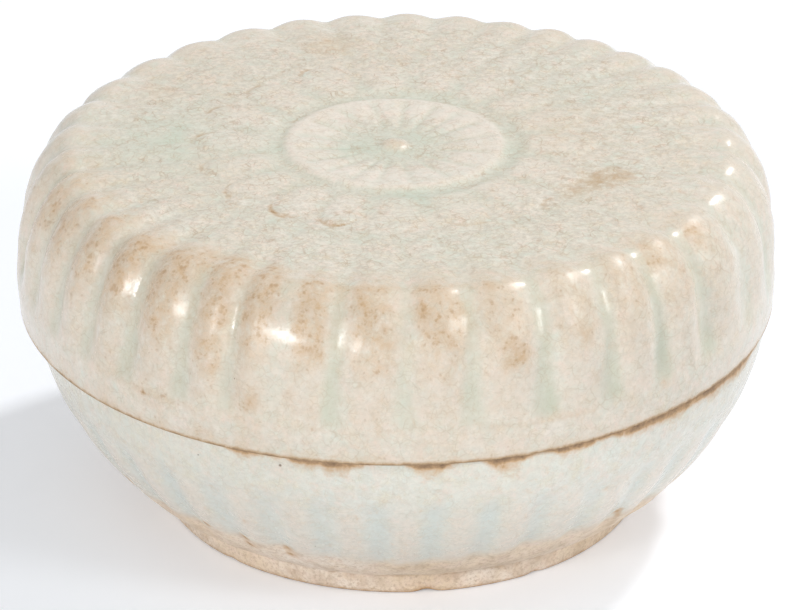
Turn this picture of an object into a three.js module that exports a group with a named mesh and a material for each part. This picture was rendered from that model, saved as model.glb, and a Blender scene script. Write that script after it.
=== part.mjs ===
// A round porcelain box with a lift-off lid, moulded as a chrysanthemum flower.
// Millimetres, +Z up. The foot stands on z = 0 with its centre at the origin.
import * as THREE from 'three';

// Fluting, shared by the lid and the base
const fluteCount = 36;
const segmentsPerFlute = 6;
const lidTurn = 1.2;            // degrees from the front to the nearest groove of the lid
const baseTurn = 5.3;           // and to the nearest groove of the base
const spacingDrift = 0.163;     // the lid's flutes widen by this share from left to right
const spacingPinch = 0.072;     // and narrow by this share towards the front

// Base
const seatHeight = 33.9;        // table to the ledge that carries the lid
const baseBand = 7;             // plain band under the ledge
const baseRimRound = 0.8;
const baseFluteDepth = 0.8;
const wallDropTop = 11.4;       // how far the wall runs nearly straight down from the ledge
const wallLeanTop = 0.3;        // how far it leans in over that drop
const wallReachFoot = 9.4;      // how far the wall's lower curve reaches out from the foot
const wallRiseFoot = 4.5;       // and how far it rises over that reach
const footDiameter = 78.6;
const footHeight = 3.7;
const footTaper = 0.7;          // the foot's side leans in this much at the table
const footRingWidth = 6;        // flat ring that touches the table
const footRecess = 1.4;
const floorThickness = 5;
const floorFlatDiameter = 66;
const insideReachFloor = 7.5;   // how far the inside runs nearly flat beyond the floor
const insideDropRim = 12.5;     // how far the inside runs nearly straight down from the ledge
const innerRimWall = 2.6;       // upright rim inside the ledge, which the lid fits over
const innerRimHeight = 6;
const innerRimRound = 0.6;

// Lid
const lidDiameter = 120;        // over the petals at the widest point
const lidHeight = 25.6;         // rim to the flat of the top
const lidRimInset = 0.5;        // how far the rim stands in from the widest point
const lidWidestHeight = 9.6;    // widest point above the rim
const lidBand = 6.4;            // plain band above the rim
const lidFluteDepth = 1.3;
const shoulderWidth = 9.2;      // widest point in to the flat of the top
const lidRimWidth = 4.2;        // width of the rim's underside
const lidRimRound = 0.7;
const lidRoof = 4;
const lidInnerCove = 8.2;       // radius taken up by the curve inside the lid's corner

// How the lid sits
const seatGap = 0.3;            // between the lid's rim and the ledge
const ledgeInset = 0.9;         // how far the base's edge stands in from the lid's rim
const rimPlay = 1.4;            // all round, between the lid and the inner rim
const lidShift = 0.8;           // the lid was set down this far to the left of centre

// Flower on the lid's top
const bossDiameter = 4.4;
const bossHeight = 1;
const wellDiameter = 15;        // sunk round the boss
const wellDepth = 0.6;
const discDiameter = 35;        // raised inner flower
const discRise = 0.4;
const discGroove = 0.3;
const channelWidth = 3.1;       // sunk ring round the inner flower
const channelDepth = 0.6;
const ringPetalLength = 11.2;   // middle ring of round-tipped petals
const ringPetalRise = 0.4;
const ringPetalGroove = 0.5;
const petalTipRound = 4.4;      // how far a petal's corners fall back from its tip
const petalTipStep = 0.7;
const outerPetalGroove = 0.5;   // at the tips of the middle ring, growing over the shoulder

const deg = Math.PI / 180;
const petalCount = fluteCount / 2;
const fineCount = fluteCount * segmentsPerFlute;
const plainCount = fluteCount * 2;

const lidRadius = lidDiameter / 2;
const lidRimRadius = lidRadius - lidRimInset;
const lidInnerRadius = lidRimRadius - lidRimWidth;
const topRadius = lidRadius - shoulderWidth;
const baseRimRadius = lidRimRadius - ledgeInset;
const innerRimOuter = lidInnerRadius - rimPlay;
const innerRimInner = innerRimOuter - innerRimWall;
const footRadius = footDiameter / 2;
const floorHeight = footRecess + floorThickness;

// Distance across a petal: 0 along its middle, 1 in the grooves on both sides of it
function across(angle, count) {
  const turn = (angle * count) / (2 * Math.PI);
  return Math.abs(2 * (turn - Math.floor(turn)) - 1);
}

const flute = (angle) => across(angle, fluteCount) ** 2;

// A petal of the flower is two flutes wide, with the groove between them along its middle.
const petalEdge = (angle) => across(angle + Math.PI / petalCount, petalCount);

// Where an evenly counted angle falls round the axis, measured from the front to the right
const baseAngle = (angle) => angle + baseTurn * deg;
const lidAngle = (angle) => angle + lidTurn * deg
  + spacingDrift * (1 - Math.cos(angle)) - spacingPinch * Math.sin(angle);

// One ring of points round the axis; radius and height are numbers or functions of the angle.
function ring(place, count, radius, height) {
  const at = (value, angle) => (typeof value === 'function' ? value(angle) : value);
  const points = [];
  for (let i = 0; i < count; i += 1) {
    const angle = (i / count) * 2 * Math.PI;
    const turned = place(angle) - Math.PI / 2;
    const r = at(radius, angle);
    points.push([r * Math.cos(turned), r * Math.sin(turned), at(height, angle)]);
  }
  return points;
}

const pole = (height) => [[0, 0, height]];

// A closed skin over rings that run from one pole to the other; each pair is stitched by angle.
function skin(rings) {
  const points = [];
  const faces = [];
  for (let k = 0; k < rings.length; k += 1) {
    const start = points.length;
    points.push(...rings[k]);
    if (k === 0) {
      continue;
    }
    const before = start - rings[k - 1].length;
    const countA = rings[k - 1].length;
    const countB = rings[k].length;
    const stepsA = countA > 1 ? countA : 0;
    const stepsB = countB > 1 ? countB : 0;
    let a = 0;
    let b = 0;
    while (a < stepsA || b < stepsB) {
      const here = before + (a % countA);
      const there = start + (b % countB);
      if (b >= stepsB || (a < stepsA && (a + 1) / stepsA <= (b + 1) / stepsB)) {
        a += 1;
        faces.push(here, there, before + (a % countA));
      } else {
        b += 1;
        faces.push(here, there, start + (b % countB));
      }
    }
  }
  const geometry = new THREE.BufferGeometry();
  geometry.setAttribute('position', new THREE.Float32BufferAttribute(points.flat(), 3));
  geometry.setIndex(faces);
  geometry.computeVertexNormals();
  return geometry;
}

// Points along a curve in the plane of the axis, as [radius, height], without its two ends
function between(curve, parts) {
  const points = curve.getPoints(parts);
  return points.slice(1, parts).map((p) => [p.x, p.y]);
}

function curveOf(...corners) {
  return new THREE.CubicBezierCurve(...corners.map(([r, z]) => new THREE.Vector2(r, z)));
}

// Base: a bowl on a low turned foot, with a ledge for the lid and an upright rim inside it
function baseRings() {
  const plain = (radius, height) => ring(baseAngle, plainCount, radius, height);
  const fluted = (radius, height) => ring(baseAngle, fineCount, radius, height);
  const rimTop = seatHeight + innerRimHeight;
  const floorRadius = floorFlatDiameter / 2;
  const inside = curveOf(
    [floorRadius, floorHeight],
    [floorRadius + insideReachFloor, floorHeight],
    [innerRimInner, seatHeight - insideDropRim],
    [innerRimInner, seatHeight],
  );
  const outside = curveOf(
    [baseRimRadius, seatHeight - baseRimRound],
    [baseRimRadius - wallLeanTop, seatHeight - wallDropTop],
    [footRadius + wallReachFoot, footHeight + wallRiseFoot],
    [footRadius, footHeight],
  );
  const bandEnd = seatHeight - baseBand;
  const fluteEnd = footHeight + wallRiseFoot;
  const rings = [pole(floorHeight)];
  rings.push(plain(floorRadius, floorHeight));
  for (const [r, z] of between(inside, 6)) {
    rings.push(plain(r, z));
  }
  rings.push(plain(innerRimInner, seatHeight));
  rings.push(plain(innerRimInner, rimTop - innerRimRound));
  rings.push(plain(innerRimInner + innerRimRound, rimTop));
  rings.push(plain(innerRimOuter - innerRimRound, rimTop));
  rings.push(plain(innerRimOuter, rimTop - innerRimRound));
  rings.push(plain(innerRimOuter, seatHeight));
  rings.push(plain(baseRimRadius - baseRimRound, seatHeight));
  rings.push(plain(baseRimRadius, seatHeight - baseRimRound));
  for (const [r, z] of between(outside, 10)) {
    const fromBand = THREE.MathUtils.smoothstep(bandEnd - z, 0, 5);
    const fromFoot = THREE.MathUtils.smoothstep(z - fluteEnd, -2, 4);
    const depth = baseFluteDepth * fromBand * fromFoot;
    const wavy = depth > 0 || Math.abs(z - bandEnd) < baseBand / 2;
    rings.push(wavy ? fluted((angle) => r - depth * flute(angle), z) : plain(r, z));
  }
  rings.push(plain(footRadius, footHeight));
  rings.push(plain(footRadius - footTaper, 0));
  rings.push(plain(footRadius - footTaper - footRingWidth, 0));
  rings.push(plain(footRadius - footTaper - footRingWidth - footRecess, footRecess));
  rings.push(pole(footRecess));
  return rings;
}

// Lid: the flower on its flat top, the fluted shoulder, the plain band, then the smooth inside
function lidRings() {
  const plain = (radius, height) => ring(lidAngle, plainCount, radius, height);
  const fluted = (radius, height) => ring(lidAngle, fineCount, radius, height);
  const bossRadius = bossDiameter / 2;
  const wellRadius = wellDiameter / 2;
  const discRadius = discDiameter / 2;
  const petalStart = discRadius + channelWidth;
  const petalEnd = petalStart + ringPetalLength;
  const tipFall = (angle) => 1 - Math.sqrt(1 - petalEdge(angle) ** 2);
  const petalTip = (angle) => petalEnd - petalTipRound * tipFall(angle);
  const petalMiddle = (angle) => (petalStart + petalTip(angle)) / 2;
  const petalFoot = (angle) => petalTip(angle) + petalTipStep;
  const petalTop = lidHeight + ringPetalRise;
  const ringPetal = (angle) => petalTop - ringPetalGroove * petalEdge(angle) ** 2;
  const discEdge = (angle) => lidHeight + discRise - discGroove * petalEdge(angle) ** 2;
  const outerPetal = (angle) => lidHeight - outerPetalGroove * flute(angle);
  const channel = lidHeight - channelDepth;
  const well = lidHeight - wellDepth;

  const rings = [pole(well + bossHeight)];
  rings.push(plain(bossRadius * 0.7, well + bossHeight * 0.7));
  rings.push(plain(bossRadius, well));
  rings.push(plain(wellRadius, well));
  rings.push(plain(discRadius - discRise - discGroove, discEdge));
  rings.push(plain(discRadius, lidHeight - discGroove));
  rings.push(plain(discRadius + channelWidth * 0.3, channel));
  rings.push(plain(discRadius + channelWidth * 0.7, channel));
  rings.push(fluted(petalStart, ringPetal));
  rings.push(fluted(petalMiddle, ringPetal));
  rings.push(fluted(petalTip, ringPetal));
  rings.push(fluted(petalFoot, outerPetal));
  rings.push(fluted((petalEnd + petalTipStep + topRadius) / 2, outerPetal));

  // The shoulder is a quarter ellipse, and its grooves are cut square to it.
  const shoulderHeight = lidHeight - lidWidestHeight;
  for (const turn of [90, 72, 54, 36, 18, 0]) {
    const out = Math.cos(turn * deg);
    const up = Math.sin(turn * deg);
    const square = new THREE.Vector2(out * shoulderHeight, up * shoulderWidth).normalize();
    const depth = THREE.MathUtils.lerp(lidFluteDepth, outerPetalGroove, up ** 8);
    const r = topRadius + shoulderWidth * out;
    const z = lidWidestHeight + shoulderHeight * up;
    const radius = (angle) => r - square.x * depth * flute(angle);
    const height = (angle) => z - square.y * depth * flute(angle);
    rings.push(fluted(radius, height));
  }
  const bandRise = lidBand / lidWidestHeight;
  const bandRadius = lidRadius - lidRimInset * (1 - bandRise) ** 2;
  const fluteEnd = (lidBand + lidWidestHeight) / 2;
  rings.push(fluted((angle) => lidRadius - 0.7 * lidFluteDepth * flute(angle), fluteEnd));
  rings.push(plain(bandRadius, lidBand));
  rings.push(plain(lidRimRadius, lidRimRound));
  rings.push(plain(lidRimRadius - lidRimRound, 0));

  const coveRadius = lidInnerRadius - lidInnerCove;
  const ceiling = lidHeight - lidRoof;
  rings.push(plain(lidInnerRadius + lidRimRound, 0));
  rings.push(plain(lidInnerRadius, lidRimRound));
  for (const turn of [0, 30, 60, 90]) {
    const r = coveRadius + lidInnerCove * Math.cos(turn * deg);
    const z = lidWidestHeight + (ceiling - lidWidestHeight) * Math.sin(turn * deg);
    rings.push(plain(r, z));
  }
  rings.push(pole(ceiling));
  return rings;
}

// Both are glazed porcelain; the lid's glaze has aged to cream and the base's is still bluish.
const lidGlaze = new THREE.MeshStandardMaterial({ color: '#e0d5c8', roughness: 0.2, metalness: 0 });
const baseGlaze = new THREE.MeshStandardMaterial({ color: '#d8d7d0', roughness: 0.2, metalness: 0 });

const base = new THREE.Mesh(skin(baseRings()), baseGlaze);
base.name = 'box_base';

const lid = new THREE.Mesh(skin(lidRings()), lidGlaze);
lid.name = 'lid';
lid.position.set(-lidShift, 0, seatHeight + seatGap);

const box = new THREE.Group();
box.name = 'porcelain_box';
box.add(base, lid);

export default box;
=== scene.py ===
# A round porcelain box with a lift-off lid, moulded as a chrysanthemum flower.
# Metres, +Z up. The foot's centre is at the origin and the front of the box faces -Y.
import math
import random

import bpy
import numpy as np
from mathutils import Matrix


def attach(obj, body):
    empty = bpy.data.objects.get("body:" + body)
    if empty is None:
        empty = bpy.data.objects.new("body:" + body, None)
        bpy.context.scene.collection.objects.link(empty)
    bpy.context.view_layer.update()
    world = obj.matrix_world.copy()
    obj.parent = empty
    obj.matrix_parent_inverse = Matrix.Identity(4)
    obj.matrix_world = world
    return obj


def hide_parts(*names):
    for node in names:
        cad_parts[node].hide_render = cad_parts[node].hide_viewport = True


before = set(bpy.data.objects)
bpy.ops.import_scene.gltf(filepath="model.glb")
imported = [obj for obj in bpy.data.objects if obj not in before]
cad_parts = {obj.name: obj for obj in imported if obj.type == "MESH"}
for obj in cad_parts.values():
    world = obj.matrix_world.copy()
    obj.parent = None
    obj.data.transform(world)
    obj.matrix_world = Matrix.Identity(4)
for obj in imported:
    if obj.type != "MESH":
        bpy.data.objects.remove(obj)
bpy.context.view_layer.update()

# View: the box stands on a table and is seen from a little above, through a long lens
# about 0.8 m away, so that its ellipses stay nearly even from front to back.
view_distance = 0.8309
view_drop = math.radians(26.48)
view_target = 0.028
bpy.ops.object.select_all(action="DESELECT")
bpy.ops.object.camera_add(
    location=(0, -view_distance * math.cos(view_drop), view_target + view_distance * math.sin(view_drop)),
    rotation=(math.pi / 2 - view_drop, 0, 0),
)
camera = bpy.context.object
camera.name = "view"
camera.data.lens = 234.2
camera.data.shift_x = -0.0058
camera.data.shift_y = 0.0232
camera.data.clip_start = 0.01
bpy.context.scene.camera = camera

# Base: the lower half of the box, a porcelain bowl pressed in a fluted mould and turned at the foot.
# Glaze runs down the outside and thins away above the foot. The ledge, the upright rim that the lid
# fits over and the foot are bare clay, stained brown with age. Outline sizes are in mm.
mm = 0.001
seat_height = 33.9
base_rim = 58.6
base_round = 0.4
base_band = 7.0
base_flute_depth = 0.6
base_deepest = 1.2
wall_handles = ((58.3, 22.5), (48.7, 8.2))
foot_radius = 39.3
foot_height = 3.7
foot_taper = 0.7
foot_bottom = foot_radius - foot_taper
foot_ring = 6.0
foot_recess = 1.4
floor_height = 6.4
floor_radius = 33.0
floor_bend = 7.5
bowl_bend = 12.5
inner_rim_outside = 53.9
inner_rim_inside = 51.3
inner_rim_top = 39.9
inner_rim_round = 0.6
inner_rim_corner = (0.2, 0.15)
inner_rim_upright = 3.0
ledge_fillet = (0.4, 0.5)
chip_depth = 0.5
worn_edge_depth = 0.3
flute_count = 36
turn_steps = 576
weld_reach = 0.001
least_weight = 0.0005


def bow(start, handle, far_handle, end, parts):
    """Points along a smooth curve from start to end, leaving along its two handles, without its start."""
    points = []
    for i in range(1, parts + 1):
        t = i / parts
        weights = ((1 - t) ** 3, 3 * (1 - t) ** 2 * t, 3 * (1 - t) * t**2, t**3)
        corners = (start, handle, far_handle, end)
        points.append(tuple(sum(w * c[axis] for w, c in zip(weights, corners)) for axis in (0, 1)))
    return points


def straight(start, end, parts):
    """Points along a straight line, without its start."""
    steps = [i / parts for i in range(1, parts + 1)]
    return [(start[0] + (end[0] - start[0]) * t, start[1] + (end[1] - start[1]) * t) for t in steps]


def throw(name, outline, centre):
    """Draws an outline of (radius, height) and turns it full circle into a closed skin, as on a wheel."""
    bpy.ops.object.select_all(action="DESELECT")
    bpy.ops.mesh.primitive_plane_add(size=mm)
    piece = bpy.context.object
    piece.name = name
    piece.data.name = name
    bpy.ops.object.mode_set(mode="EDIT")
    bpy.ops.mesh.select_mode(type="VERT")
    bpy.ops.mesh.merge(type="CENTER")
    bpy.ops.transform.translate(value=(0, -outline[0][0] * mm, outline[0][1] * mm))
    for (radius, z), (next_radius, next_z) in zip(outline, outline[1:]):
        step = (0, (radius - next_radius) * mm, (next_z - z) * mm)
        bpy.ops.mesh.extrude_region_move(TRANSFORM_OT_translate={"value": step})
    bpy.ops.object.mode_set(mode="OBJECT")
    wheel = piece.modifiers.new("wheel", "SCREW")
    wheel.steps = turn_steps
    wheel.render_steps = turn_steps
    wheel.use_merge_vertices = True
    wheel.merge_threshold = weld_reach * mm
    bpy.ops.object.modifier_apply(modifier="wheel")
    bpy.ops.object.mode_set(mode="EDIT")
    bpy.ops.mesh.select_all(action="SELECT")
    bpy.ops.mesh.remove_doubles(threshold=weld_reach * mm)
    bpy.ops.mesh.normals_make_consistent(inside=False)
    bpy.ops.transform.translate(value=(centre * mm, 0, 0))
    bpy.ops.object.mode_set(mode="OBJECT")
    bpy.ops.object.shade_smooth()
    return piece


def places(piece, outline, centre):
    """Each point's place from the piece's axis, its row of the outline and its angle from the front."""
    points = np.empty(len(piece.data.vertices) * 3)
    piece.data.vertices.foreach_get("co", points)
    points = points.reshape(-1, 3) / mm - (centre, 0, 0)
    radius = np.hypot(points[:, 0], points[:, 1])
    angle = np.arctan2(points[:, 0], -points[:, 1])
    rows = np.array(outline)
    row = np.empty(len(points), int)
    batch = 4000
    for i in range(0, len(points), batch):
        part = slice(i, i + batch)
        near = (radius[part, None] - rows[:, 0]) ** 2 + (points[part, 2, None] - rows[:, 1]) ** 2
        row[part] = near.argmin(axis=1)
    return points, row, angle


def ease(value, start, end):
    """0 before start, 1 after end, and a smooth rise between them."""
    t = np.clip((value - start) / (end - start), 0, 1)
    return t * t * (3 - 2 * t)


def crease(off_middle, softness):
    """How far a rounded rib falls from its middle, at 0, to the glaze-filled groove beside it, at 1."""
    inside = 1 - np.sqrt((1 - off_middle) ** 2 + softness**2)
    return (np.maximum(inside, 0) / (1 - softness)) ** 2


def weigh(piece, name, weights):
    """Keeps one weight for each point of a skin, for a modifier to follow."""
    group = piece.vertex_groups.new(name=name)
    for i in np.flatnonzero(weights > least_weight):
        group.add([int(i)], float(min(weights[i], 1)), "REPLACE")


def press(piece, name, weights, depth, direction="NORMAL"):
    """Moves the skin by depth where its weight is 1, along its normals or along one axis."""
    weigh(piece, name, weights)
    push = piece.modifiers.new(name, "DISPLACE")
    push.vertex_group = name
    push.direction = direction
    push.mid_level = 0
    push.strength = depth * mm
    bpy.ops.object.modifier_apply(modifier=name)


def roughen(piece, name, weights, size, depth):
    """Moves a weighted skin in and out by a cloudy pattern of that size, as hand work leaves it."""
    weigh(piece, name, weights)
    clouds = bpy.data.textures.new(name, "CLOUDS")
    clouds.noise_scale = size * mm
    push = piece.modifiers.new(name, "DISPLACE")
    push.texture = clouds
    push.texture_coords = "LOCAL"
    push.vertex_group = name
    push.strength = depth * mm
    bpy.ops.object.modifier_apply(modifier=name)


def count_flutes(angle, turn, grooves_at):
    """How many flutes round from the first groove a point is, and how far off its rib's middle, 0 to 1."""
    flute = np.interp(np.mod(angle - turn, 2 * math.pi), grooves_at, np.arange(flute_count + 1))
    return flute, np.abs(2 * np.mod(flute, 1) - 1)


def by_groove(flute, amounts):
    """For each point the amount that its nearest groove has. The last groove is the first one again."""
    amounts = np.array(amounts)
    amounts[-1] = amounts[0]
    return amounts[np.minimum(np.rint(flute).astype(int), flute_count)]


def blots(points, marks):
    """Soft round marks: for each an angle from the front in degrees, a radius, height, size and strength."""
    total = np.zeros(len(points))
    for side, radius, height, size, strength in marks:
        turn = math.radians(side)
        spot = (radius * math.sin(turn), -radius * math.cos(turn), height)
        total += strength * np.exp(-((points - spot) ** 2).sum(axis=1) / size**2)
    return total


def around(angle, runs):
    """Soft runs round a piece: for each an angle from the front in degrees, a half width and a strength."""
    total = np.zeros(len(angle))
    for side, width, strength in runs:
        away = np.angle(np.exp(1j * (angle - math.radians(side)))) / math.radians(width)
        total += strength * np.exp(-(away**2))
    return total


def paint(piece, name, values):
    """Keeps one value from 0 to 1 for each point, for the glaze to read."""
    layer = piece.data.attributes.new(name, "FLOAT", "POINT")
    layer.data.foreach_set("value", np.clip(values, 0, 1).astype(np.float32))


base_inside = straight((0, floor_height), (floor_radius, floor_height), 12)
base_inside += bow(
    (floor_radius, floor_height),
    (floor_radius + floor_bend, floor_height),
    (inner_rim_inside, seat_height - bowl_bend),
    (inner_rim_inside, seat_height),
    18,
)
base_rim_rows = [
    (inner_rim_inside, inner_rim_top - inner_rim_upright),
    (inner_rim_inside, inner_rim_top - inner_rim_round),
    (inner_rim_inside + inner_rim_corner[0], inner_rim_top - inner_rim_corner[1]),
    (inner_rim_inside + inner_rim_round, inner_rim_top),
    (inner_rim_outside - inner_rim_round, inner_rim_top),
    (inner_rim_outside - inner_rim_corner[0], inner_rim_top - inner_rim_corner[1]),
    (inner_rim_outside, inner_rim_top - inner_rim_round),
    (inner_rim_outside, inner_rim_top - inner_rim_upright),
    (inner_rim_outside, seat_height + ledge_fillet[1]),
    (inner_rim_outside + ledge_fillet[0], seat_height),
]
base_rim_rows += straight(base_rim_rows[-1], (base_rim - base_round, seat_height), 4)
ledge_corner = [
    (base_rim - 0.18, seat_height - 0.06),
    (base_rim - 0.05, seat_height - 0.2),
    (base_rim, seat_height - base_round),
]
base_wall = ledge_corner + bow(ledge_corner[-1], *wall_handles, (foot_radius, foot_height), 56)
sole_corner = [(foot_bottom + 0.15, 0.4), (foot_bottom - 0.1, 0.1), (foot_bottom - 0.5, 0)]
base_foot = straight((foot_radius, foot_height), sole_corner[0], 6) + sole_corner[1:]
base_foot += straight(base_foot[-1], (foot_bottom - foot_ring, 0), 4)
base_foot += straight(base_foot[-1], (foot_bottom - foot_ring - foot_recess, foot_recess), 2)
base_foot += straight(base_foot[-1], (0, foot_recess), 14)
base_outline = [(0, floor_height)] + base_inside + base_rim_rows + base_wall + base_foot

base = throw("box_base_glazed", base_outline, 0)
points, row, angle = places(base, base_outline, 0)
height = points[:, 2]
radius = np.hypot(points[:, 0], points[:, 1])
first_rim = 1 + len(base_inside)
first_wall = first_rim + len(base_rim_rows)
first_foot = first_wall + len(base_wall)
on_inside = row < first_rim
on_ledge = (row >= first_rim) & (row < first_wall)
on_wall = (row >= first_wall) & (row < first_foot)
on_foot = row >= first_foot

# Soft flutes start under the plain band and fade out where the glaze stops. They stand closer at the front.
base_turn = math.radians(5.2)
base_pinch = 0.1
counted = np.linspace(0, 2 * math.pi, flute_count + 1)
grooves_at = counted - base_pinch * np.sin(counted)
flute, off_middle = count_flutes(angle, base_turn, grooves_at)
fluted = on_wall * ease(seat_height - base_band - height, 0, 5) * ease(height, 6.2, 12)
dice = random.Random(11)
depths = [dice.uniform(0.7, base_deepest) for _ in range(flute_count + 1)]
groove_depth = by_groove(flute, depths) / base_deepest
press(base, "flutes", fluted * crease(off_middle, 0.5) * groove_depth, -base_flute_depth * base_deepest)

# Hand work: the wall has slumped a little, the foot was turned wet, and both edges are chipped.
roughen(base, "hand_slump", on_wall * ease(seat_height - height, 1.5, 6), size=22, depth=0.5)
turned = (on_wall | on_foot) * ease(height, 0.2, 0.8) * (1 - ease(height, 8, 12))
roughen(base, "hand_turning", turned, size=4, depth=0.4)
foot_chips = [
    (6, 38.8, 0.4, 1.4, 1),
    (-44, 38.8, 0.3, 1.0, 0.4),
    (33, 38.8, 0.2, 1.1, 0.6),
    (150, 38.8, 0.3, 1.6, 1),
]
press(base, "chips", on_foot * blots(points, foot_chips), -chip_depth)
ledge_chips = [
    (-8, base_rim, seat_height, 1.5, 0.5),
    (47, base_rim, seat_height, 2.5, 0.6),
    (60, base_rim, seat_height, 2, 0.7),
    (200, base_rim, seat_height, 3, 0.6),
]
press(base, "worn_edge", (on_wall | on_ledge) * blots(points, ledge_chips), -worn_edge_depth)

# Brown soil has crept out from under the lid. Each run has an angle and a half width in degrees and a drop
# in mm, and small runs fray the rest of the seam. The ledge is buff, and brown only at its outer edge.
soil_runs = [
    (-62, 30, 0.45), (-24, 3, 1.7), (-14.5, 3.2, 2.4), (-9.5, 2.6, 3.2), (4.3, 2.6, 3.3), (15.9, 2.8, 4.2),
    (27, 4.5, 1.7), (38, 4, 1.9), (46, 4.5, 2.3), (56, 5, 2.5), (65, 5, 2.7), (84, 12, 1.6),
    (118, 9, 2.2), (152, 14, 1.0), (-95, 10, 1.2), (-128, 8, 2.0), (-160, 12, 1.3),
]
small_runs = 90
for _ in range(small_runs):
    soil_runs.append((dice.uniform(-180, 180), dice.uniform(0.5, 1.4), dice.uniform(-0.5, 0.7)))
drop = np.maximum(0.3 + around(angle, soil_runs), 0.2)
below = seat_height - height
edge_line = (1 - ease(below, 0.7, 1.5)) * ease(drop, 0.4, 1.4)
crept_out = 1 - ease(below / drop, 0.1, 1.3)
ledge_runs = [(-70, 25, 0.15), (40, 30, 0.15), (170, 35, 0.2)]
ledge_soil = 0.15 + 0.6 * ease(radius, 56.4, 58.2) + around(angle, ledge_runs)
seam_soil = on_wall * (0.4 * edge_line + 0.75 * crept_out) + on_ledge * ledge_soil

# Lower down it lies at the top of the foot, on the sole, in the chips and where the glaze has crawled.
# Round the sole's outer edge the dark band is soil and also painted shade, where the foot meets the table.
foot_line = 0.25 * (on_wall | on_foot) * np.exp(-(((height - foot_height) / 0.4) ** 2))
sole_soil_and_contact_shade = 0.75 * on_foot * (1 - ease(height, 0.1, 0.7)) * ease(radius, 34, 37)
chip_dirt = on_foot * blots(points, [(6, 38.8, 0.3, 1.1, 0.7), (3.5, 38.9, 0.6, 0.9, 0.4)])
crawls = [
    (-37.3, 50.1, 13, 0.8, 1.0), (-29.4, 49.3, 12, 0.8, 1.1), (-29.7, 47.5, 10, 0.9, 0.9),
    (-21.3, 48.7, 11.3, 0.8, 1.0), (-21.5, 47.2, 9.6, 0.9, 0.8), (42.5, 50.4, 13.4, 0.9, 0.8),
    (43.4, 49.4, 12.2, 0.8, 0.6), (-26.6, 53.2, 17.5, 0.7, 0.5),
]

# Glaze pools in the grooves and in the bowl, is thin on the ribs, and ends unevenly above the foot.
pool_depths = [dice.uniform(0.4, 1.0) for _ in range(flute_count + 1)]
groove_pool = fluted * ease(off_middle, 0.3, 0.95) * by_groove(flute, pool_depths)
paint(base, "pool", groove_pool + 0.5 * on_inside * (1 - ease(radius, 12, 40)))
glaze_line = 12.4 - around(angle, [(0, 20, 1.6)])
bare = np.where(on_wall, np.clip(0.5 + (glaze_line - height) / 5, 0, 1), 0)
paint(base, "bare", np.where(on_foot | on_ledge, 1.0, bare))
paint(base, "stain", on_wall * (0.3 * (1 - ease(height, 8, 18)) + 0.08))
paint(base, "soil_and_shade", seam_soil + foot_line + sole_soil_and_contact_shade + on_wall * blots(points, crawls) + chip_dirt)
paint(base, "thin", fluted * ease(1 - off_middle, 0.25, 0.95))
paint(base, "pale", 0.4 * on_inside * (1 - ease(radius, 20, 34)))
paint(base, "worn", np.where(on_wall, 0.2, 0.4))


def linear(hex_colour):
    """An sRGB hex colour as the linear RGBA that the shader takes."""
    parts = [int(hex_colour[i : i + 2], 16) / 255 for i in (1, 3, 5)]
    return [p / 12.92 if p <= 0.04045 else ((p + 0.055) / 1.055) ** 2.4 for p in parts] + [1]


def add(tree, kind, inputs, **settings):
    """Adds one shader node. Each input is a plain value, or the socket of another node to link from."""
    node = tree.nodes.new("ShaderNode" + kind)
    for name, value in settings.items():
        setattr(node, name, value)
    for key, value in inputs.items():
        if isinstance(value, bpy.types.NodeSocket):
            tree.links.new(value, node.inputs[key])
        else:
            node.inputs[key].default_value = value
    return node


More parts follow.
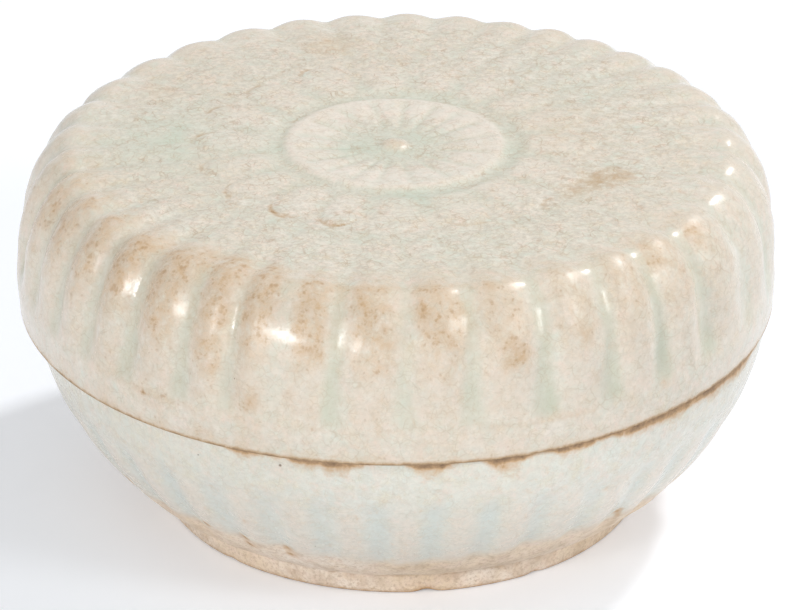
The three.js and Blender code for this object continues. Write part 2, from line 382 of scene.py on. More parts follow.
def aged_glaze(name, colours, clay_colours, grain_depth):
    """Porcelain under a pale crackled glaze: grey green where the glaze pools, creamy where it is thin,
    tan where old stains have soaked in, and dry buff clay where it was left bare."""
    material = bpy.data.materials.new(name)
    material.use_nodes = True
    tree = material.node_tree
    shader = tree.nodes["Principled BSDF"]
    place = add(tree, "TexCoord", {}).outputs["Object"]
    painted = {}
    for layer in ("pool", "bare", "stain", "soil_and_shade", "thin", "pale", "worn"):
        painted[layer] = add(tree, "Attribute", {}, attribute_name=layer).outputs["Fac"]

    # Broad drifts of tone, 20 mm across, then mottles of 4 mm, and finer ones of 2.5 mm in three hues, from
    # uneven glaze and firing.
    drift = add(tree, "TexNoise", {"Vector": place, "Scale": 1 / 0.02, "Detail": 3}).outputs["Fac"]
    drifted = add(
        tree, "MapRange", {"Value": drift, 1: 0.36, 2: 0.64}, interpolation_type="SMOOTHSTEP"
    ).outputs[0]
    mottle = add(
        tree, "TexNoise", {"Vector": place, "Scale": 1 / 0.004, "Detail": 5, "Roughness": 0.65}
    ).outputs["Fac"]
    hues = add(tree, "TexNoise", {"Vector": place, "Scale": 1 / 0.0025, "Detail": 5, "Roughness": 0.65})
    hues = add(tree, "SeparateColor", {"Color": hues.outputs["Color"]}).outputs
    pinkish = add(tree, "MapRange", {"Value": hues[0], 1: 0.46, 2: 0.68, 3: 0.0, 4: 0.8}).outputs[0]
    greenish = add(tree, "MapRange", {"Value": hues[1], 1: 0.46, 2: 0.68, 3: 0.0, 4: 0.8}).outputs[0]
    yellowish = add(tree, "MapRange", {"Value": hues[2], 1: 0.48, 2: 0.7, 3: 0.0, 4: 0.7}).outputs[0]

    # Thin glaze on the ribs lets the clay's warmth through. Deep glaze is grey green in the grooves, and
    # bluer in the worn middle of the top, which fine clouds make dull.
    warmth = add(tree, "MapRange", {"Value": mottle, 1: 0.3, 2: 0.65, 3: 0.4, 4: 1.0}).outputs[0]
    warm = add(tree, "Math", {0: painted["thin"], 1: warmth}, operation="MULTIPLY").outputs[0]
    pale = add(tree, "Math", {0: painted["pale"], 1: warmth}, operation="MULTIPLY").outputs[0]
    depth = add(tree, "MapRange", {"Value": mottle, 1: 0.3, 2: 0.7, 3: 0.5, 4: 1.1}).outputs[0]
    pooled = add(
        tree, "Math", {0: painted["pool"], 1: depth}, operation="MULTIPLY", use_clamp=True
    ).outputs[0]
    cloud = add(
        tree, "TexNoise", {"Vector": place, "Scale": 1 / 0.0009, "Detail": 4, "Roughness": 0.75}
    ).outputs["Fac"]
    clouded = add(tree, "MapRange", {"Value": cloud, 1: 0.4, 2: 0.62}).outputs[0]
    cloud_share = add(tree, "MapRange", {"Value": painted["worn"], 3: 0.5, 4: 1.0}).outputs[0]
    clouded = add(tree, "Math", {0: clouded, 1: cloud_share}, operation="MULTIPLY").outputs[0]

    # Crackle: a net of cracks with cells of 2.6 mm and a finer one of 1.1 mm between them, both bent. Parts
    # of both have soaked up stain, and on the worn top brown dirt has lodged in other parts.
    bend = add(tree, "TexNoise", {"Vector": place, "Scale": 1 / 0.0022, "Detail": 2}).outputs["Color"]
    bent = add(tree, "VectorMath", {0: bend, 1: (0.0015,) * 3, 2: place}, operation="MULTIPLY_ADD").outputs[0]
    wide_net = add(
        tree, "TexVoronoi", {"Vector": bent, "Scale": 1 / 0.0026}, feature="DISTANCE_TO_EDGE"
    ).outputs[0]
    fine_net = add(
        tree, "TexVoronoi", {"Vector": bent, "Scale": 1 / 0.0011}, feature="DISTANCE_TO_EDGE"
    ).outputs[0]
    wide_crack = add(tree, "MapRange", {"Value": wide_net, 1: 0.0, 2: 0.05, 3: 1.0, 4: 0.0}).outputs[0]
    fine_crack = add(tree, "MapRange", {"Value": fine_net, 1: 0.0, 2: 0.1, 3: 0.8, 4: 0.0}).outputs[0]
    net = add(tree, "Math", {0: wide_crack, 1: fine_crack}, operation="MAXIMUM").outputs[0]
    wide_soak = add(tree, "MapRange", {"Value": hues[1], 1: 0.42, 2: 0.62}).outputs[0]
    fine_soak = add(tree, "MapRange", {"Value": hues[2], 1: 0.42, 2: 0.62}).outputs[0]
    wide_crack = add(tree, "Math", {0: wide_crack, 1: wide_soak}, operation="MULTIPLY").outputs[0]
    fine_crack = add(tree, "Math", {0: fine_crack, 1: fine_soak}, operation="MULTIPLY").outputs[0]
    crack = add(tree, "Math", {0: wide_crack, 1: fine_crack}, operation="MAXIMUM").outputs[0]
    soaked = add(tree, "MapRange", {"Value": painted["worn"], 3: 0.3, 4: 0.42}).outputs[0]
    cracked = add(tree, "Math", {0: crack, 1: soaked}, operation="MULTIPLY").outputs[0]
    dirty = add(tree, "MapRange", {"Value": hues[0], 1: 0.5, 2: 0.64, 3: 0.0, 4: 0.42}).outputs[0]
    dirty = add(tree, "Math", {0: dirty, 1: painted["worn"]}, operation="MULTIPLY").outputs[0]
    dirt_line = add(tree, "Math", {0: net, 1: dirty}, operation="MULTIPLY").outputs[0]

    # Tan stain: a soft haze broken up at 2 mm, and in it crowds of round freckles up to a third of a
    # millimetre wide.
    patches = add(
        tree, "TexNoise", {"Vector": place, "Scale": 1 / 0.002, "Detail": 5, "Roughness": 0.7}
    ).outputs["Fac"]
    haze = add(tree, "MapRange", {"Value": patches, 1: 0.32, 2: 0.68, 3: 0.2, 4: 1.0}).outputs[0]
    haze = add(tree, "Math", {0: painted["stain"], 1: haze}, operation="MULTIPLY").outputs[0]
    crowd = add(tree, "MapRange", {"Value": patches, 1: 0.4, 2: 0.65, 3: 0.1, 4: 1.0}).outputs[0]
    crowd = add(tree, "Math", {0: painted["stain"], 1: crowd}, operation="MULTIPLY").outputs[0]
    cells = add(tree, "TexVoronoi", {"Vector": bent, "Scale": 1 / 0.0006, "Randomness": 1.0})
    chance = add(tree, "SeparateColor", {"Color": cells.outputs["Color"]}).outputs[0]
    chance = add(tree, "Math", {0: chance, 1: crowd}, operation="ADD").outputs[0]
    freckle_size = add(tree, "MapRange", {"Value": chance, 1: 1.0, 2: 1.5, 3: 0.0, 4: 0.65}).outputs[0]
    freckle = add(
        tree, "Math", {0: freckle_size, 1: cells.outputs["Distance"]}, operation="SUBTRACT"
    ).outputs[0]
    freckle = add(tree, "MapRange", {"Value": freckle, 1: -0.25, 2: 0.4, 3: 0.0, 4: 0.42}).outputs[0]

    # Pits: pinholes in the glaze and grit in the clay, 6 mm apart on average, most of them too small to see.
    holes = add(tree, "TexVoronoi", {"Vector": place, "Scale": 1 / 0.006, "Randomness": 1.0})
    hole_size = add(tree, "SeparateColor", {"Color": holes.outputs["Color"]}).outputs[0]
    hole_size = add(tree, "MapRange", {"Value": hole_size, 1: 0.6, 2: 1.0, 3: 0.0, 4: 0.055}).outputs[0]
    inside = add(tree, "Math", {0: hole_size, 1: holes.outputs["Distance"]}, operation="SUBTRACT").outputs[0]
    pit = add(tree, "MapRange", {"Value": inside, 1: 0.0, 2: 0.025, 3: 0.0, 4: 0.8}).outputs[0]

    # The glaze's colour is laid down in this order, from the body of the glaze to the dirt on it.
    glaze = linear(colours["body"])
    pools = {0: painted["worn"], 6: linear(colours["pool"]), 7: linear(colours["blue_pool"])}
    pool_tint = add(tree, "Mix", pools, data_type="RGBA").outputs[2]
    layers = [
        (drifted, "blush"),
        (pinkish, "pink"),
        (greenish, "green"),
        (yellowish, "yellow"),
        (warm, "thin"),
        (clouded, "cloud"),
        (pale, "pale"),
        (pooled, "pool"),
        (cracked, "crack"),
        (dirt_line, "spot"),
        (haze, "stain"),
        (freckle, "spot"),
        (pit, "pit"),
    ]
    for share, tint in layers:
        layer_colour = pool_tint if tint == "pool" else linear(colours[tint])
        glaze = add(tree, "Mix", {0: share, 6: glaze, 7: layer_colour}, data_type="RGBA").outputs[2]

    # Bare clay: the glaze thins away over a few millimetres with an uneven edge. The clay's grain is 0.6 mm.
    edge = add(
        tree, "TexNoise", {"Vector": place, "Scale": 1 / 0.006, "Detail": 6, "Roughness": 0.65}
    ).outputs["Fac"]
    edge = add(tree, "Math", {0: edge, 1: 0.8, 2: painted["bare"]}, operation="MULTIPLY_ADD").outputs[0]
    unglazed = add(
        tree, "MapRange", {"Value": edge, 1: 0.6, 2: 1.3}, interpolation_type="SMOOTHSTEP"
    ).outputs[0]
    grain = add(
        tree, "TexNoise", {"Vector": place, "Scale": 1 / 0.0006, "Detail": 5, "Roughness": 0.7}
    ).outputs["Fac"]
    speck = add(tree, "MapRange", {"Value": grain, 1: 0.48, 2: 0.7, 3: 0.0, 4: 0.7}).outputs[0]
    smudged = add(tree, "MapRange", {"Value": mottle, 1: 0.46, 2: 0.7, 3: 0.0, 4: 0.6}).outputs[0]
    clay = linear(clay_colours["pale"])
    clay_layers = [
        (drifted, "ochre"),
        (pinkish, "pink"),
        (yellowish, "ochre"),
        (smudged, "speck"),
        (speck, "speck"),
        (pit, "grit"),
    ]
    for share, tint in clay_layers:
        layer_colour = linear(clay_colours[tint])
        clay = add(tree, "Mix", {0: share, 6: clay, 7: layer_colour}, data_type="RGBA").outputs[2]
    colour = add(tree, "Mix", {0: unglazed, 6: glaze, 7: clay}, data_type="RGBA").outputs[2]

    # Brown soil along the seam, on worn edges and in old scratches, with a ragged edge 1.6 mm wide. The same
    # layer also carries painted shade: a dark line at the lid's seam and a dark band round the foot's sole.
    crumbs = add(
        tree, "TexNoise", {"Vector": bent, "Scale": 1 / 0.0016, "Detail": 6, "Roughness": 0.7}
    ).outputs["Fac"]
    ragged = add(tree, "Math", {0: crumbs, 1: 1.5, 2: painted["soil_and_shade"]}, operation="MULTIPLY_ADD").outputs[0]
    soiled_and_shaded = add(tree, "MapRange", {"Value": ragged, 1: 0.85, 2: 1.5, 3: 0.0, 4: 0.95}).outputs[0]
    deep = add(tree, "MapRange", {"Value": ragged, 1: 1.4, 2: 1.95}).outputs[0]
    soil = add(
        tree, "Mix", {0: deep, 6: linear(colours["soil"]), 7: linear(colours["dark_soil_and_shade"])}, data_type="RGBA"
    ).outputs[2]
    colour = add(tree, "Mix", {0: soiled_and_shaded, 6: colour, 7: soil}, data_type="RGBA").outputs[2]
    tree.links.new(colour, shader.inputs["Base Color"])

    # The glaze is glossy where it is thick, satin where it is worn, and the clay is dry.
    gloss = add(tree, "MapRange", {"Value": mottle, 1: 0.3, 2: 0.75, 3: 0.13, 4: 0.25}).outputs[0]
    gloss = add(tree, "Math", {0: painted["worn"], 1: 0.32, 2: gloss}, operation="MULTIPLY_ADD").outputs[0]
    gloss = add(tree, "Math", {0: haze, 1: 0.15, 2: gloss}, operation="MULTIPLY_ADD").outputs[0]
    gloss = add(
        tree, "Math", {0: soiled_and_shaded, 1: 0.4, 2: gloss}, operation="MULTIPLY_ADD", use_clamp=True
    ).outputs[0]
    rough = add(tree, "Mix", {0: unglazed, 2: gloss, 3: 0.85}).outputs[0]
    tree.links.new(rough, shader.inputs["Roughness"])
    shader.inputs["IOR"].default_value = 1.5

    # Ripples of the glaze, its fine grain, sunk cracks and pits, and the grain of the clay.
    ripple = add(tree, "TexNoise", {"Vector": place, "Scale": 1 / 0.0035, "Detail": 2}).outputs["Fac"]
    sunk = add(tree, "Math", {0: crack, 1: -0.05, 2: ripple}, operation="MULTIPLY_ADD").outputs[0]
    sunk = add(tree, "Math", {0: cloud, 1: grain_depth, 2: sunk}, operation="MULTIPLY_ADD").outputs[0]
    sunk = add(tree, "Math", {0: pit, 1: -1.0, 2: sunk}, operation="MULTIPLY_ADD").outputs[0]
    relief = add(tree, "Mix", {0: unglazed, 2: sunk, 3: grain}).outputs[0]
    bump = add(tree, "Bump", {"Strength": 0.4, "Distance": 0.0002, "Height": relief}).outputs[0]
    tree.links.new(bump, shader.inputs["Normal"])
    return material


base_glaze = aged_glaze(
    "pale_blue_porcelain_glaze",
    {
        "body": "#e3e2d8",
        "blush": "#e0ddcf",
        "pink": "#e7d6c8",
        "green": "#d5dcd2",
        "yellow": "#e0d8bf",
        "thin": "#e7dacb",
        "pale": "#ebe6dc",
        "pool": "#d0d7d0",
        "blue_pool": "#cfd7d2",
        "cloud": "#d2cfc3",
        "crack": "#b9ab95",
        "stain": "#d2bda6",
        "spot": "#b0977a",
        "pit": "#705c47",
        "soil": "#c7a176",
        "dark_soil_and_shade": "#7a5d3f",
    },
    {"pale": "#f4e6d6", "pink": "#f0dac9", "ochre": "#ead5ba", "speck": "#b99e80", "grit": "#7d6955"},
    grain_depth=0.05,
)
base.data.materials.append(base_glaze)
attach(base, "base")
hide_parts("box_base")

# Lid: the upper half, pressed in a carved mould. A chrysanthemum covers its flat top: a boss in a sunk
# well, an inner flower with a raised edge, a ring of round-tipped petals, then long petals that run
# over the shoulder as flutes and stop above a plain band. It drops loosely over the inner rim.
lid_centre = -1.05
lid_seat = 34.05
lid_radius = 60.35
lid_height = 25.9
lid_rim = 60.3
lid_widest = 9.6
lid_swell = 0.25
lid_band = 6.4
lid_flute_depth = 1.3
lid_deepest = 1.35
top_radius = 51.0
rim_round = 0.35
lid_inside = 55.3
lid_ceiling = 21.6
cove = 8.2
boss_radius = 2.2
boss_height = 0.75
well_depth = 0.5
disc_radius = 17.2
disc_rise = 0.25
channel_width = 3.1
channel_depth = 0.3
petal_start = disc_radius + channel_width
petal_end = 31.8
petal_tip_round = 5.0
petal_share = 0.78
petal_count = flute_count // 2
ring_petal_rise = 0.24
disc_petal_depth = 0.24
tip_groove_depth = 0.09
mark_level = 25.6


def flower_level(r):
    """Height of the flower's rings over the flat of the top."""
    if r < boss_radius:
        return boss_height * math.sqrt(1 - (r / boss_radius) ** 2) - well_depth
    disc = (well_depth + disc_rise) * float(ease(r, 5, disc_radius - 1.2)) - well_depth
    fall = (disc_rise + channel_depth) * float(ease(r, disc_radius - 1.0, disc_radius + 1.4))
    return disc - fall + channel_depth * float(ease(r, petal_start - 1.6, petal_start + 1.2))


def top_blots(points, marks):
    """Soft round marks on the top: for each an angle from the front, a radius, a size and a strength."""
    return blots(points, [(side, out, mark_level, size, strength) for side, out, size, strength in marks])


# Rows of the outline lie closest together where the flower's rings rise and fall.
flower_radii = [0.5 * i for i in range(1, 6)] + [2.5 + 0.7 * i for i in range(1, 20)]
flower_radii += [15.8 + 0.4 * i for i in range(1, 16)] + [21.8 + 0.55 * i for i in range(1, 22)]
flower_end = 33.35
flower_radii += [flower_end + (top_radius - flower_end) * i / 18 for i in range(1, 19)]
lid_flower = [(r, lid_height + flower_level(r)) for r in flower_radii]
shoulder_rows = 28
lid_shoulder = []
for i in range(1, shoulder_rows + 1):
    turn = math.pi / 2 * (1 - i / shoulder_rows)
    shoulder_out = (lid_radius - top_radius) * math.cos(turn)
    lid_shoulder.append((top_radius + shoulder_out, lid_widest + (lid_height - lid_widest) * math.sin(turn)))
wall_rows = 16
lid_wall = []
for i in range(1, wall_rows + 1):
    z = lid_widest + (rim_round - lid_widest) * i / wall_rows
    wall_taper = (lid_radius - lid_rim) * (1 - z / lid_widest) ** 2
    lid_wall.append((lid_radius - wall_taper + lid_swell * math.sin(math.pi * z / lid_widest) ** 2, z))
rim_corner_rows = 4
lid_rim_rows = []
for i in range(1, rim_corner_rows + 1):
    turn = math.pi / 2 * i / rim_corner_rows
    lid_rim_rows.append((lid_rim - rim_round * (1 - math.cos(turn)), rim_round * (1 - math.sin(turn))))
lid_rim_rows += straight((lid_rim - rim_round, 0), (lid_inside + rim_round, 0), 3)
lid_rim_rows += [(lid_inside + 0.2, 0.2), (lid_inside, rim_round)]
lid_hollow = straight((lid_inside, rim_round), (lid_inside, lid_widest), 4)
cove_rows = 8
for i in range(1, cove_rows + 1):
    turn = math.pi / 2 * i / cove_rows
    cove_rise = (lid_ceiling - lid_widest) * math.sin(turn)
    lid_hollow.append((lid_inside - cove * (1 - math.cos(turn)), lid_widest + cove_rise))
lid_hollow += straight(lid_hollow[-1], (0, lid_ceiling), 12)
lid_outline = [(0, lid_height + boss_height - well_depth)]
lid_outline += lid_flower + lid_shoulder + lid_wall + lid_rim_rows + lid_hollow
lid_outline = [(r, z + lid_seat) for r, z in lid_outline]

lid = throw("lid_glazed", lid_outline, lid_centre)
points, row, angle = places(lid, lid_outline, lid_centre)
points = points - (0, 0, lid_seat)
lid_rows = np.array(lid_outline)
radius = lid_rows[row, 0]
height = lid_rows[row, 1] - lid_seat
first_shoulder = 1 + len(lid_flower)
first_wall = first_shoulder + len(lid_shoulder)
first_rim = first_wall + len(lid_wall)
first_hollow = first_rim + len(lid_rim_rows)
on_flower = row < first_shoulder
on_shoulder = (row >= first_shoulder) & (row < first_wall)
on_wall = (row >= first_wall) & (row < first_rim)
on_rim = (row >= first_rim) & (row < first_hollow)
on_hollow = row >= first_hollow

# The mould's carver spaced the flutes by eye: they widen at the front right and at the back left. Some are
# cut off their places by a degree or two, and one of them is hardly cut at all.
lid_turn = math.radians(1.2)
spacing_drift = 0.018
spacing_wave = 0.065
slips = {1: -0.5, 4: -1.9, 5: -3.0, 6: -2.0, 7: -1.0, 31: 0.5, 32: 2.6, 33: 1.5, 35: -0.9}
grooves_at = counted + spacing_drift * (1 - np.cos(counted)) + spacing_wave * (1 - np.cos(2 * counted))
for groove, slip in slips.items():
    grooves_at[groove] += math.radians(slip)
flute, off_middle = count_flutes(angle, lid_turn, grooves_at)
petal = np.mod(flute / 2 + 0.5, petal_count)
petal_edge = np.abs(2 * np.mod(petal, 1) - 1)

# Flutes: rounded ribs with glaze-filled grooves, shallower on the top and ending above the band. Handling has
# rubbed the ribs down at the front. At the far left the grooves are deeper, and at the right their upper ends
# are broad scoops.
rubbed_share = 0.3
far_left_share = 0.25
dice = random.Random(5)
depths = [dice.uniform(0.75, 1.15) for _ in range(flute_count + 1)]
depths[31] = lid_deepest
depths[34] = 0.05
groove_depth = by_groove(flute, depths) / lid_deepest
up = np.clip((height - lid_widest) / (lid_height - lid_widest), 0, 1)
groove_end = ease(height, lid_band - 1.5, lid_band + 5)
side_depth = groove_end * (on_wall + on_shoulder * (1 - 0.45 * up**8))
reach = np.array([dice.uniform(-0.6, 0.5) for _ in range(petal_count + 1)])
reach[-1] = reach[0]
tip = petal_end + reach[np.minimum(petal.astype(int), petal_count)]
tip = tip - petal_tip_round * (1 - np.sqrt(1 - np.minimum(petal_edge / petal_share, 0.999) ** 2))
outer = on_flower * ease(radius - tip, -0.3, 1.0) * ease(radius, 28, 31)
outer_depth = outer * (0.1 + 0.45 * ease(radius, 38, top_radius + 1))
rubbed = ease(np.cos(angle), 0.55, 0.97)
far_left = around(angle, [(-85, 25, 1)])
groove_depth = groove_depth * (1 - rubbed_share * rubbed + far_left_share * far_left)
softness = 0.36 + 0.26 * np.cos(angle - math.radians(45)) * up**2
scooped = around(angle, [(45, 34, 0.9)]) * np.where(on_flower, ease(radius, 44, 50), up**3)
scoop = 0.5 - 0.5 * np.cos(math.pi * off_middle)
section = crease(off_middle, softness) * (1 - scooped) + scoop * scooped
flutes = np.where(on_flower, outer_depth, side_depth) * section * groove_depth
press(lid, "flutes", flutes, -lid_flute_depth * lid_deepest)

# Smoothing with a wet rib left faint rings round the shoulder.
ring_pitch = 4.7
ring_start = 3.6
ring_depth = 0.05
arc = np.concatenate([[0], np.cumsum(np.hypot(*np.diff(lid_rows, axis=0).T))])
down = arc[row] - arc[first_shoulder - 1]
rings = on_shoulder * ease(down, 0, 2) * (0.5 + 0.5 * np.cos(2 * math.pi * (down - ring_start) / ring_pitch))
press(lid, "tool_rings", rings, -ring_depth)

# Petals of the two inner rings: low rounded ribs, worn nearly flat, with a fine groove round their tips.
in_ring = on_flower * ease(radius, petal_start - 0.6, petal_start + 1.5) * ease(tip - radius, -0.4, 1.2)
press(lid, "ring_petals", in_ring * (1 - 0.9 * crease(petal_edge, 0.3)), ring_petal_rise)
disc_petals = on_flower * ease(radius, 5, 9) * (1 - ease(radius, disc_radius - 2.5, disc_radius - 0.4))
press(lid, "disc_petals", disc_petals * crease(petal_edge, 0.25), -disc_petal_depth)
tip_line = on_flower * ease(radius, 27, 28.5) * np.exp(-(((radius - tip - 0.5) / 0.6) ** 2))
press(lid, "tip_grooves", tip_line, -tip_groove_depth)

# Hand work: the lid has slumped a little, and fingers left the side uneven as they pressed it into the mould.
side_skin = on_shoulder + on_wall * ease(height, 1.5, 4)
roughen(lid, "hand_slump", on_flower + side_skin, size=24, depth=0.5)
pressed = 0.3 * on_flower + side_skin * (0.3 + 0.7 * (1 - up**6))
roughen(lid, "hand_pressing", pressed, size=5, depth=0.24)

# The lid leaned a little to the right as it dried, its shoulder most, and its flower was pressed off centre.
lean_wall = 0.3
lean_shoulder = 0.4
outward = np.where(on_flower, ease(radius, 22, 46), 1)
high = np.where(on_flower, ease(radius, 30, 48), np.where(on_shoulder, ease(height, 8, 22), 0))
leaning = (lean_wall * outward + lean_shoulder * high) / (lean_wall + lean_shoulder)
press(lid, "lean", leaning, lean_wall + lean_shoulder, "X")

# The rim warped in the kiln, so on the right it stands a little clear of the ledge.
kiln_lift = 0.45
lifted = ease(angle, 0.25, 0.9) * (1 - ease(angle, 1.6, 2.2))
press(lid, "kiln_warp", (on_wall | on_rim) * lifted * (1 - ease(height, 0.5, 9)), kiln_lift, "Z")

# Pools of glaze: in the grooves, widest at their lower ends, round the inner flower and in its well.
pool_depths = [dice.uniform(0.45, 1.0) for _ in range(flute_count + 1)]
right_pools = {0: 0.6, 1: 0.8, 2: 1.0, 3: 0.9, 4: 1.0, 5: 0.85}
left_pools = {30: 0.6, 31: 0.8, 32: 0.8, 33: 0.55, 34: 0.3, 35: 1.0}
for groove, amount in (right_pools | left_pools).items():
    pool_depths[groove] = amount
low = 1 - ease(height, 8, 17)
across = ease(off_middle, 0.62 - 0.16 * low, 0.95 - 0.08 * low) * (0.78 + 0.17 * low)
groove_pool = on_shoulder * (1 - 0.4 * up**6) + on_wall * ease(height, lid_band - 1.2, lid_band + 1.2)
groove_pool = groove_pool * across * by_groove(flute, pool_depths)
channel = on_flower * ease(radius, disc_radius - 0.6, disc_radius + 0.9)
channel = channel * (1 - ease(radius, petal_start - 1.4, petal_start + 2.5))
channel_runs = [(-85, 22, 0.5), (-40, 14, 0.2), (8, 22, 0.6), (85, 28, 0.6), (165, 20, 0.5), (-150, 20, 0.3)]
channel = channel * (0.35 + around(angle, channel_runs))
well = on_flower * ease(radius, 1.6, 2.8) * (1 - ease(radius, 4.5, 10.5))
petal_pool = 0.14 * outer * ease(off_middle, 0.4, 1) + 0.35 * in_ring * ease(petal_edge, 0.55, 1)
petal_pool = petal_pool + 0.4 * disc_petals * ease(petal_edge, 0.5, 1)
tip_runs = [(-95, 24, 0.4), (-20, 45, 0.3), (55, 30, 0.2)]
tip_pool = on_flower * np.exp(-(((radius - 35) / 1.6) ** 2)) * around(angle, tip_runs)
washes = [
    (-88, 40, 9, 0.5), (-100, 36, 7, 0.3), (-80, 26, 6, 0.2), (128, 36, 9, 0.25),
    (15, 44, 8, 0.2), (-75, 8, 4, 0.4), (20, 23, 4, 0.35), (5, 22, 4, 0.3),
]
hollow_pool = 0.4 * on_hollow * (1 - ease(radius, 10, 44))
top_pool = on_flower * (top_blots(points, washes) + tip_pool) + petal_pool + 0.8 * channel + 0.65 * well
paint(lid, "pool", groove_pool + top_pool + hollow_pool)
paint(lid, "bare", np.where(on_rim & (height < 0.4), 1.0, 0.0))

# Tan stain lies on the ribs where they turn over the shoulder, most of it at the left of the front, and in
# single blots on the side and the top.
rib = ease(1 - off_middle, 0.1, 0.7)
crest = on_shoulder * ease(height, 12, 22) + on_flower * ease(radius, 45, 51.5)
stain_runs = [
    (-74, 15, 0.5), (-45, 20, 0.7), (-18, 16, 0.55), (7, 15, 0.5), (40, 20, 0.35),
    (160, 30, 0.15), (-150, 30, 0.15),
]
side_stains = [
    (-22.4, 54.6, 24.1, 2.0, 0.5), (-22.4, 57, 21.4, 2.0, 0.5), (-22.4, 58.4, 18.6, 1.5, 0.4),
    (-13.3, 53.5, 24.9, 1.6, 0.7), (-13.3, 55.9, 22.9, 1.6, 0.6), (-12.6, 58.7, 17.8, 1.8, 1.1),
    (-9.1, 52.1, 25.4, 1.6, 0.5), (-5.3, 54.6, 24.1, 2.5, 0.3), (-3.7, 57.9, 19.8, 2.5, 0.3),
    (-1.6, 59.1, 16.5, 2.5, 0.3), (4.3, 55.6, 23.2, 1.6, 0.6), (9.4, 55.4, 23.4, 1.3, 0.7),
    (8.3, 57.7, 20.3, 1.5, 0.9), (17.3, 59, 16.9, 1.9, 1.3), (-21.5, 60, 8.9, 1.7, 0.7),
    (-29.3, 59.4, 15.2, 2.0, 0.5), (-27.7, 59.8, 12.9, 1.6, 0.5), (-37.3, 59.1, 16.5, 2.2, 0.4),
    (28.3, 58.7, 17.8, 1.8, 0.4), (42.7, 59.9, 5.9, 0.9, 1.2), (56.5, 54.3, 24.4, 2.2, 0.7),
    (45.3, 54.3, 24.4, 3.5, 0.4), (-73.1, 56.2, 22.5, 2.0, 0.5),
]
top_stains = [
    (-29.9, 50, 2.5, 0.6), (-23.5, 50.5, 2.5, 0.6), (-34.1, 50.9, 2.5, 0.5), (-43.7, 51.4, 2.5, 0.4),
    (-164, 40.7, 4, 0.6), (100, 27, 9, 0.2), (64, 35, 7, 0.2), (-118, 44, 3, 0.3),
]
stained = around(angle, stain_runs)
stain = crest * stained * (0.32 + 0.63 * rib)
stain += (on_shoulder + on_wall) * (0.1 + 0.36 * stained) * (0.5 + 0.5 * rib)
stain += blots(points, side_stains) + top_blots(points, top_stains)
band_line = on_wall * np.exp(-(((height - 5.8) / 0.4) ** 2))
band_line = band_line * around(angle, [(-38, 7, 0.5), (24, 5, 0.5), (0, 60, 0.15)])
rim_tan = 0.2 * on_wall * (1 - ease(height, 0.8, 2.5))
boss = on_flower * (1 - ease(radius, 1.2, 2.4))
paint(lid, "stain", stain + band_line + rim_tan + 0.1 * on_flower + 0.5 * boss)

# Brown soil: along the rim, in a smear on the right of the top, in spots on the side and round some of the
# petal tips. The dark line along the lid's lower edge is soil and also painted shade, the shadow of the seam.
smear = [
    (51, 33.3, 2.2, 0.2), (58, 33.4, 2.6, 0.32), (65, 34, 2.8, 0.34), (70, 35.6, 3, 0.34),
    (71, 38.5, 2.4, 0.22), (160, 30, 2.6, 0.2), (-20, 50.5, 2, 0.15), (-30, 50, 2.2, 0.15),
]
spots = [
    (-12.6, 58.7, 17.8, 1.5, 0.35), (17.3, 59, 16.9, 1.5, 0.32), (8.3, 57.7, 20.3, 1.2, 0.28),
    (-13.3, 54.5, 24.2, 1.8, 0.25), (-22.4, 56, 22.7, 2.2, 0.2), (42.7, 59.9, 5.9, 0.9, 0.4),
    (-21.5, 60, 8.9, 1.5, 0.25), (4.3, 55.6, 23.2, 1.4, 0.25), (-39.5, 60.4, 5.5, 0.6, 1.0),
]
tip_soil = [
    (-35.5, 31.5, 3.8, 0.8), (-16, 31.3, 3.8, 0.75), (20.5, 31, 3.2, 0.5), (44, 31, 2.4, 0.4),
    (-55, 31.5, 3, 0.5), (-75, 31.5, 3, 0.4), (-96, 31.5, 3, 0.5), (-115, 31.5, 3, 0.5),
    (-132, 31.5, 3, 0.5), (-151, 31.5, 3, 0.5), (-166, 31.5, 3, 0.45), (140, 31, 3, 0.35),
]
rim_soil_and_shade = on_wall * (1 - ease(height, 0.2, 0.75)) + on_rim * (0.3 + 0.6 * ease(radius, 58.5, 60))
tip_brown = np.exp(-(((radius - tip - 0.4) / 0.5) ** 2)) * top_blots(points, tip_soil)
top_soil = on_flower * (top_blots(points, smear) + tip_brown)
paint(lid, "soil_and_shade", 0.95 * rim_soil_and_shade + top_soil + (on_shoulder + on_wall) * blots(points, spots))

# Thin glaze shows on the ribs, the inner flower and the backs of its petals. The top has lost its shine, and
# so have the ends of the ribs at the right. On the far left side the warm thin glaze is held back and a paler
# colour is
# painted on: painted light on that side.
thin_disc = on_flower * ease(radius, 8, 13) * (1 - ease(radius, disc_radius - 0.2, disc_radius + 0.6))
thin_side = (on_shoulder + on_wall * ease(height, lid_band, lid_widest)) * (0.15 + 0.5 * rib) + 0.3 * on_wall
paint(lid, "thin", thin_side * (1 - 0.6 * far_left))
ring_backs = in_ring * (1 - ease(petal_edge, 0.3, 0.8)) * (1 - ease(radius, 27, 31))
painted_light_left = far_left * (on_wall + on_shoulder * (1 - up**3))
paint(lid, "pale", 0.5 * thin_disc + 0.3 * ring_backs + 0.4 * painted_light_left)
worn_top = on_flower * (1 - ease(radius, 44, 52)) * ease(radius, 1.5, 2.5) * (1 - 0.6 * thin_disc)
right_crest = (on_shoulder + on_flower * ease(radius, 46, 51)) * ease(height, 12, 20)
worn_right = 0.6 * right_crest * around(angle, [(48, 32, 1)]) * (0.2 + 0.8 * rib)
paint(lid, "worn", np.maximum(worn_top, worn_right) + 0.4 * on_hollow)

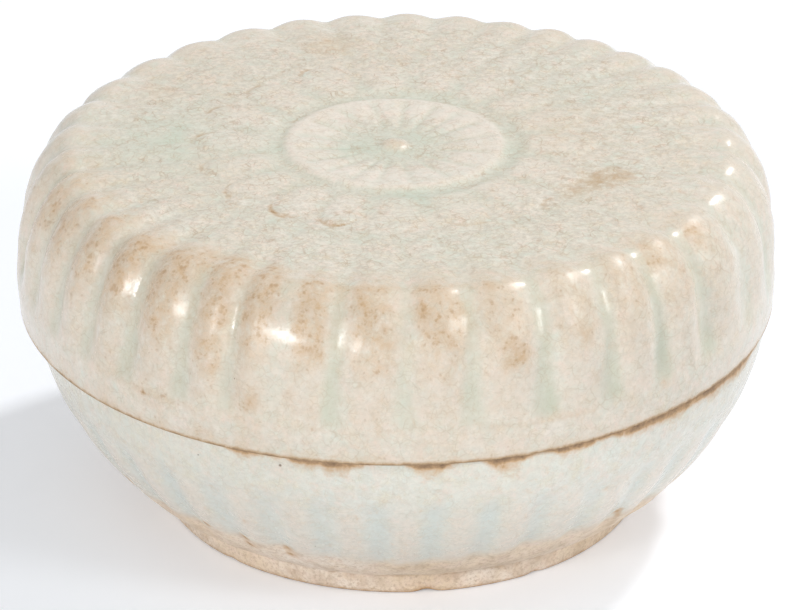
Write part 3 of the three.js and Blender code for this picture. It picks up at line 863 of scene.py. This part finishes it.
lid_glaze = aged_glaze(
    "cream_porcelain_glaze",
    {
        "body": "#e5e0d4",
        "blush": "#e2d9ca",
        "pink": "#e9d6c9",
        "green": "#cfd8cb",
        "yellow": "#dfd3bb",
        "thin": "#dacebe",
        "pale": "#f2e9de",
        "pool": "#c1c6b3",
        "blue_pool": "#c6d1c2",
        "cloud": "#cdc7ba",
        "crack": "#a98f6e",
        "stain": "#c9ac89",
        "spot": "#a07b52",
        "pit": "#6c553d",
        "soil": "#b99b77",
        "dark_soil_and_shade": "#74593c",
    },
    {"pale": "#dccab2", "pink": "#d8c0a8", "ochre": "#cdb08c", "speck": "#9a7a58", "grit": "#6b5138"},
    grain_depth=0.3,
)
lid.data.materials.append(lid_glaze)
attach(lid, "lid")
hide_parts("lid")

# Table: a plain white sheet under the box. It is drawn white to the camera and keeps the box's shadow.
# A faint glow, which casts no light, lifts it to the white of the room.
table_size = 6
table_glow = 0.215


def shown(tree):
    """1 on a ray that draws the picture, straight or by gloss or glass, and 0 on one that lights it."""
    path = add(tree, "LightPath", {}).outputs
    seen = add(tree, "Math", {0: path["Is Camera Ray"], 1: path["Is Glossy Ray"]}, operation="ADD").outputs[0]
    return add(tree, "Math", {0: seen, 1: path["Is Transmission Ray"]}, operation="ADD").outputs[0]


bpy.ops.object.select_all(action="DESELECT")
bpy.ops.mesh.primitive_plane_add(size=table_size)
table = bpy.context.object
table.name = "white_table"
white_sheet = bpy.data.materials.new("white_sheet")
white_sheet.use_nodes = True
sheet_tree = white_sheet.node_tree
sheet_shader = sheet_tree.nodes["Principled BSDF"]
sheet_shader.inputs["Base Color"].default_value = linear("#eaeef5")
sheet_shader.inputs["Roughness"].default_value = 0.9
sheet_shader.inputs["Specular IOR Level"].default_value = 0.1
sheet_shader.inputs["Emission Color"].default_value = (1, 1, 1, 1)
glow = add(sheet_tree, "Math", {0: shown(sheet_tree), 1: table_glow}, operation="MULTIPLY").outputs[0]
sheet_tree.links.new(glow, sheet_shader.inputs["Emission Strength"])
table.data.materials.append(white_sheet)

# Light: a small lamp behind on the right casts the shadow, and two soft boxes and a wide sheet light the
# front. For each: its angle from the front, its rise, its distance, its size and its power.
lamp_aim = 0.04
lamps = [
    ("back_lamp", 132, 48, 2.2, 0.25, 22.0),
    ("right_box", 52, 30, 0.9, 0.2, 1.9),
    ("left_box", -37, 20, 0.9, 0.18, 2.3),
    ("front_sheet", 0, 10, 1.5, 1.0, 3.4),
]
for lamp_name, lamp_side, lamp_rise, lamp_distance, lamp_size, lamp_power in lamps:
    side, rise = math.radians(lamp_side), math.radians(lamp_rise)
    flat = lamp_distance * math.cos(rise)
    spot = (flat * math.sin(side), -flat * math.cos(side), lamp_aim + lamp_distance * math.sin(rise))
    bpy.ops.object.light_add(type="AREA", location=spot, rotation=(math.pi / 2 - rise, 0, side))
    lamp = bpy.context.object
    lamp.name = lamp_name
    lamp.data.size = lamp_size
    lamp.data.energy = lamp_power

# Room: white to the camera, and a softer even light on the box.
room_light = 0.46
world = bpy.data.worlds.new("white_room")
world.use_nodes = True
room_tree = world.node_tree
room_white = add(room_tree, "MapRange", {"Value": shown(room_tree), 3: room_light, 4: 1.0}).outputs[0]
room_tree.nodes["Background"].inputs["Color"].default_value = (1, 1, 1, 1)
room_tree.links.new(room_white, room_tree.nodes["Background"].inputs["Strength"])
bpy.context.scene.world = world
bpy.context.scene.view_settings.view_transform = "Standard"
